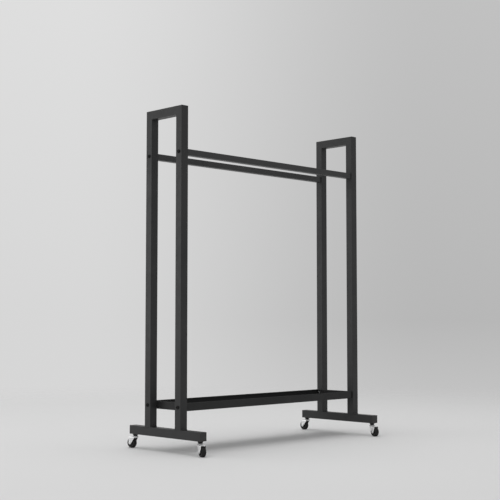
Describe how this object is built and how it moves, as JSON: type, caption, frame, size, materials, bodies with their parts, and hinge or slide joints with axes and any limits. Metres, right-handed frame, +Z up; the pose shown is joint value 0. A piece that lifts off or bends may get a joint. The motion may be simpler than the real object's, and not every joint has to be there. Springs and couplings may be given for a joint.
{
  "type": "racket display stand",
  "caption": "Free-standing racket display stand: two square-tube end frames, two hanging rails, a shallow bottom tray and swivel casters.",
  "frame": {"origin": "on the floor under the middle of the stand's footprint, with the casters turned as in the picture", "axes": "+X along the stand to the right, +Y to its back, +Z up"},
  "size_m": [0.7872, 0.3432, 0.992],
  "materials": {
    "powder_coat": "satin black powder coat with a fine grain",
    "black_plastic": "moulded, matte",
    "collar_plastic": "moulded, matte, deep black",
    "black_bolt": "black oxide, semi-matte",
    "zinc_steel": "bright zinc plating",
    "caster_steel": "polished nickel plating",
    "wheel_plastic": "moulded, matte",
    "tyre_rubber": "smooth soft rubber, matte"
  },
  "bodies": {
    "stand": {"left_top_bar": "powder_coat", "right_top_bar": "powder_coat", "left_foot_bar": "powder_coat", "right_foot_bar": "powder_coat", "front_rail": "powder_coat", "back_rail": "powder_coat", "tray": "powder_coat", "left_front_post": "powder_coat", "left_front_rail_bolt": "black_bolt", "left_front_tray_bolt": "black_bolt", "left_front_rail_insert": "zinc_steel", "left_front_tray_nut": "zinc_steel", "left_front_foot_plug": "black_plastic", "left_front_foot_nut": "zinc_steel", "left_front_caster_stem": "zinc_steel", "left_front_caster_collar": "collar_plastic", "left_back_post": "powder_coat", "left_back_rail_bolt": "black_bolt", "left_back_tray_bolt": "black_bolt", "left_back_rail_insert": "zinc_steel", "left_back_tray_nut": "zinc_steel", "left_back_foot_plug": "black_plastic", "left_back_foot_nut": "zinc_steel", "left_back_caster_stem": "zinc_steel", "left_back_caster_collar": "collar_plastic", "right_front_post": "powder_coat", "right_front_rail_bolt": "black_bolt", "right_front_tray_bolt": "black_bolt", "right_front_rail_insert": "zinc_steel", "right_front_tray_nut": "zinc_steel", "right_front_foot_plug": "black_plastic", "right_front_foot_nut": "zinc_steel", "right_front_caster_stem": "zinc_steel", "right_front_caster_collar": "collar_plastic", "right_back_post": "powder_coat", "right_back_rail_bolt": "black_bolt", "right_back_tray_bolt": "black_bolt", "right_back_rail_insert": "zinc_steel", "right_back_tray_nut": "zinc_steel", "right_back_foot_plug": "black_plastic", "right_back_foot_nut": "zinc_steel", "right_back_caster_stem": "zinc_steel", "right_back_caster_collar": "collar_plastic"},
    "left_front_caster": {"left_front_caster_fork": "caster_steel", "left_front_caster_axle": "caster_steel"},
    "left_front_wheel": {"left_front_caster_wheel": "wheel_plastic", "left_front_caster_tyre": "tyre_rubber"},
    "left_back_caster": {"left_back_caster_fork": "caster_steel", "left_back_caster_axle": "caster_steel"},
    "left_back_wheel": {"left_back_caster_wheel": "wheel_plastic", "left_back_caster_tyre": "tyre_rubber"},
    "right_front_caster": {"right_front_caster_fork": "caster_steel", "right_front_caster_axle": "caster_steel"},
    "right_front_wheel": {"right_front_caster_wheel": "wheel_plastic", "right_front_caster_tyre": "tyre_rubber"},
    "right_back_caster": {"right_back_caster_fork": "caster_steel", "right_back_caster_axle": "caster_steel"},
    "right_back_wheel": {"right_back_caster_wheel": "wheel_plastic", "right_back_caster_tyre": "tyre_rubber"}
  },
  "joints": [
    {"name": "left_front_swivel", "type": "hinge", "parent": "stand", "child": "left_front_caster", "pos_m": [-0.37732, -0.14256, 0.0365], "axis": [0, 0, 1], "continuous": true},
    {"name": "left_front_roll", "type": "hinge", "parent": "left_front_caster", "child": "left_front_wheel", "pos_m": [-0.38188, -0.15579, 0.01491], "axis": [0.9455, -0.3256, 0], "continuous": true},
    {"name": "left_back_swivel", "type": "hinge", "parent": "stand", "child": "left_back_caster", "pos_m": [-0.37732, 0.14244, 0.0365], "axis": [0, 0, 1], "continuous": true},
    {"name": "left_back_roll", "type": "hinge", "parent": "left_back_caster", "child": "left_back_wheel", "pos_m": [-0.37854, 0.15639, 0.01491], "axis": [-0.9962, -0.0872, 0], "continuous": true},
    {"name": "right_front_swivel", "type": "hinge", "parent": "stand", "child": "right_front_caster", "pos_m": [0.37768, -0.14256, 0.0365], "axis": [0, 0, 1], "continuous": true},
    {"name": "right_front_roll", "type": "hinge", "parent": "right_front_caster", "child": "right_front_wheel", "pos_m": [0.37429, -0.15614, 0.01491], "axis": [0.9703, -0.2419, 0], "continuous": true},
    {"name": "right_back_swivel", "type": "hinge", "parent": "stand", "child": "right_back_caster", "pos_m": [0.37768, 0.14244, 0.0365], "axis": [0, 0, 1], "continuous": true},
    {"name": "right_back_roll", "type": "hinge", "parent": "right_back_caster", "child": "right_back_wheel", "pos_m": [0.37866, 0.15641, 0.01491], "axis": [-0.9976, 0.0698, 0], "continuous": true}
  ]
}
